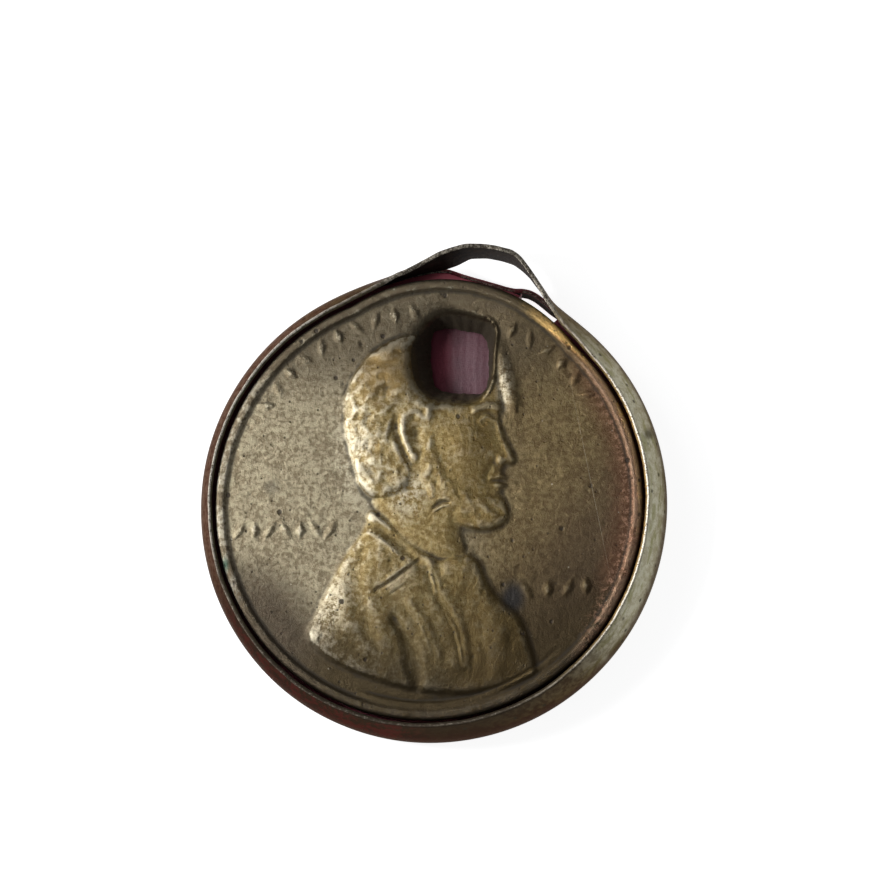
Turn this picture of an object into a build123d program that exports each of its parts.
from build123d import *
import os
from math import cos, radians, sin

# A round coin capsule: a thin sheet-metal shell ring, a burgundy backing disc pressed into its
# rear, and a punched bronze coin lying loose in front of the disc. An arc of the ring's wall is
# pried outward at the top and makes a loop to hang the capsule by.
#
# Millimetres. Z = 0 is the capsule's flat back, +Z points out of the coin's face, +Y is twelve
# o'clock, +X is three o'clock, and the Z axis is the axis of the coin and the ring.

os.makedirs("parts", exist_ok=True)

# Coin: a standard 19.05 mm bronze coin
COIN_R = 19.05 / 2
COIN_THICK = 1.55
RIM_WIDTH = 0.42
FIELD_DEPTH = 0.12
EDGE_ROUND = 0.08

# The punch drove the coin's edge out a little above the hole
BULGE_R = 7.41
BULGE_SHIFT = 2.65
BULGE_ANGLE = 79.0

# Punched hole: a rounded square, narrower at the back
HOLE_X = 1.20
HOLE_Y = 6.47
HOLE_FRONT_W = 3.80
HOLE_FRONT_H = 3.92
HOLE_BACK_W = 2.55
HOLE_BACK_H = 2.80
HOLE_CORNER_FRONT = 0.90
HOLE_CORNER_BACK = 0.50

# Backing disc
BACKING_THICK = 0.80
BACKING_PLAY = 0.02

# Shell ring
SHEET = 0.20
RING_HEIGHT = 2.60
LIP_R = 9.80
WAIST_R = 10.38
WAIST_Z = 0.55
WALL_BOW = 0.21
FOOT_R = 10.14
FOOT_BOW = 0.05

# The coin rests on the backing with a hair of air under it
SEAT_AIR = 0.03
COIN_Z = BACKING_THICK + SEAT_AIR
COIN_TOP = COIN_Z + COIN_THICK

# Torn notch in the backing disc, open to the back, beside the right root of the loop
NOTCH_R = 10.10
NOTCH_ANGLE = 62.0
NOTCH_DEEP = 0.80
NOTCH_WIDE = 1.00

# Pried arc of the wall: angle, outer radius of the front edge, of the rear edge, and bow
LOOP_FROM = 114.0
LOOP_TO = 42.0
LOOP_SECTIONS = [
    (LOOP_FROM, LIP_R, WAIST_R, WALL_BOW),
    (110.0, 9.85, 10.38, 0.20),
    (107.0, 9.92, 10.40, 0.18),
    (104.5, 10.00, 10.42, 0.16),
    (102.0, 10.13, 10.44, 0.12),
    (99.0, 10.30, 10.50, 0.06),
    (95.8, 10.43, 10.60, 0.03),
    (93.0, 10.68, 10.70, 0.02),
    (90.0, 10.97, 10.78, 0.02),
    (87.5, 11.22, 10.84, 0.02),
    (84.8, 11.45, 11.05, 0.02),
    (82.0, 11.64, 11.42, 0.02),
    (78.0, 11.81, 11.57, 0.02),
    (74.5, 11.88, 11.59, 0.02),
    (71.5, 11.85, 11.57, 0.02),
    (69.0, 11.68, 11.42, 0.02),
    (66.7, 11.42, 11.24, 0.02),
    (65.0, 11.22, 11.05, 0.02),
    (62.1, 10.88, 10.78, 0.02),
    (60.5, 10.70, 10.62, 0.02),
    (58.7, 10.50, 10.50, 0.04),
    (57.0, 10.37, 10.45, 0.06),
    (55.0, 10.20, 10.42, 0.10),
    (52.5, 10.03, 10.40, 0.14),
    (50.0, 9.93, 10.38, 0.18),
    (46.0, 9.86, 10.38, 0.20),
    (LOOP_TO, LIP_R, WAIST_R, WALL_BOW),
]

# Arc where the rear band and the disc were dragged outward too: angle, outer radius at the waist
DRAG_FROM = 107.0
DRAG_TO = 55.0
DRAG_SECTIONS = [
    (DRAG_FROM, WAIST_R),
    (102.0, 10.43),
    (98.0, 10.50),
    (94.0, 10.60),
    (90.0, 10.70),
    (86.5, 10.72),
    (83.0, 10.55),
    (80.0, 10.46),
    (76.0, 10.40),
    (72.0, 10.38),
    (69.7, 10.42),
    (68.0, 10.54),
    (66.0, 10.61),
    (64.0, 10.59),
    (61.5, 10.50),
    (59.0, 10.41),
    (DRAG_TO, WAIST_R),
]


def radial_plane(angle):
    """The half plane through the Z axis at an angle: local x is the radius, local y is Z."""
    c, s = cos(radians(angle)), sin(radians(angle))
    return Plane(origin=(0, 0, 0), x_dir=(c, s, 0), z_dir=(s, -c, 0))


def wall_section(angle, front_r, rear_r, bow):
    """The cut face of the upper wall at an angle, a bowed strip one sheet thick."""
    mid_r = (front_r + rear_r) / 2 + bow
    mid_z = (RING_HEIGHT + WAIST_Z) / 2
    outside = ThreePointArc((rear_r, WAIST_Z), (mid_r, mid_z), (front_r, RING_HEIGHT))
    edge = Line((front_r, RING_HEIGHT), (front_r - SHEET, RING_HEIGHT))
    inside = ThreePointArc(
        (front_r - SHEET, RING_HEIGHT), (mid_r - SHEET, mid_z), (rear_r - SHEET, WAIST_Z)
    )
    foot = Line((rear_r - SHEET, WAIST_Z), (rear_r, WAIST_Z))
    return radial_plane(angle) * make_face([outside, edge, inside, foot])


def band_section(angle, waist_r):
    """The cut face of the lower wall at an angle: it curls in to hold the backing disc."""
    foot_r = waist_r - WAIST_R + FOOT_R
    mid_r = (waist_r + foot_r) / 2 + FOOT_BOW
    mid_z = WAIST_Z / 2
    outside = ThreePointArc((waist_r, WAIST_Z), (mid_r, mid_z), (foot_r, 0))
    foot = Line((foot_r, 0), (foot_r - SHEET, 0))
    inside = ThreePointArc((foot_r - SHEET, 0), (mid_r - SHEET, mid_z), (waist_r - SHEET, WAIST_Z))
    top = Line((waist_r - SHEET, WAIST_Z), (waist_r, WAIST_Z))
    return radial_plane(angle) * make_face([outside, foot, inside, top])


def rear_band():
    """The lower wall, whole all round, with the arc that was dragged outward."""
    sweep_angle = 360.0 - (DRAG_FROM - DRAG_TO)
    even = revolve(band_section(DRAG_FROM, WAIST_R), Axis.Z, sweep_angle)
    dragged = loft([band_section(*section) for section in DRAG_SECTIONS], ruled=True)
    return even + dragged


def upper_wall():
    """The upper wall, with the pried arc left out."""
    sweep_angle = 360.0 - (LOOP_FROM - LOOP_TO)
    section = wall_section(LOOP_FROM, LIP_R, WAIST_R, WALL_BOW)
    return revolve(section, Axis.Z, sweep_angle)


def pried_loop():
    """The arc of wall that stands away from the coin."""
    sections = [wall_section(*section) for section in LOOP_SECTIONS]
    return loft(sections, ruled=True)


def shell_ring():
    return rear_band() + upper_wall() + pried_loop()


def disc_section(angle, waist_r, inner_r=0.0):
    """The cut face of the disc, whose edge follows the inside of the rear band."""
    edge_waist = waist_r - SHEET - BACKING_PLAY
    edge_foot = edge_waist - WAIST_R + FOOT_R
    outline = Polyline(
        (inner_r, 0),
        (edge_foot, 0),
        (edge_waist, WAIST_Z),
        (edge_waist, BACKING_THICK),
        (inner_r, BACKING_THICK),
        (inner_r, 0),
    )
    return radial_plane(angle) * make_face(outline)


def backing_disc():
    """The disc, its dragged arc, and one torn notch."""
    disc = revolve(disc_section(0, WAIST_R), Axis.Z)
    dragged = loft([disc_section(*section, 8.0) for section in DRAG_SECTIONS], ruled=True)
    at_edge = Rot(0, 0, NOTCH_ANGLE) * Pos(NOTCH_R, 0, 0)
    notch = extrude(at_edge * Ellipse(NOTCH_DEEP, NOTCH_WIDE), BACKING_THICK)
    return disc + dragged - notch


def round_blank(radius):
    """A disc as thick as the coin, its two corners broken."""
    blank = extrude(Pos(0, 0, COIN_Z) * Circle(radius), COIN_THICK)
    return chamfer(blank.edges().filter_by(GeomType.CIRCLE), EDGE_ROUND)


def coin_blank():
    """The coin without its hole, its edge driven out at the top."""
    bulge_at = Rot(0, 0, BULGE_ANGLE) * Pos(BULGE_SHIFT, 0, 0)
    return round_blank(COIN_R) + bulge_at * round_blank(BULGE_R)


def coin_field(z):
    """The sunk field of one face."""
    return extrude(Pos(0, 0, z) * Circle(COIN_R - RIM_WIDTH), FIELD_DEPTH)


def punched_hole():
    front = Pos(HOLE_X, HOLE_Y, COIN_TOP) * RectangleRounded(
        HOLE_FRONT_W, HOLE_FRONT_H, HOLE_CORNER_FRONT
    )
    back = Pos(HOLE_X, HOLE_Y, COIN_Z) * RectangleRounded(
        HOLE_BACK_W, HOLE_BACK_H, HOLE_CORNER_BACK
    )
    return loft([back, front])


def coin():
    blank = coin_blank()
    fields = coin_field(COIN_TOP - FIELD_DEPTH) + coin_field(COIN_Z)
    return blank - fields - punched_hole()


for name, make in (("shell_ring", shell_ring), ("backing_disc", backing_disc), ("coin", coin)):
    part = make()
    part.label = name
    export_step(part, f"parts/{name}.step")
    print(name, round(part.volume, 3), "mm3", "solids", len(part.solids()))
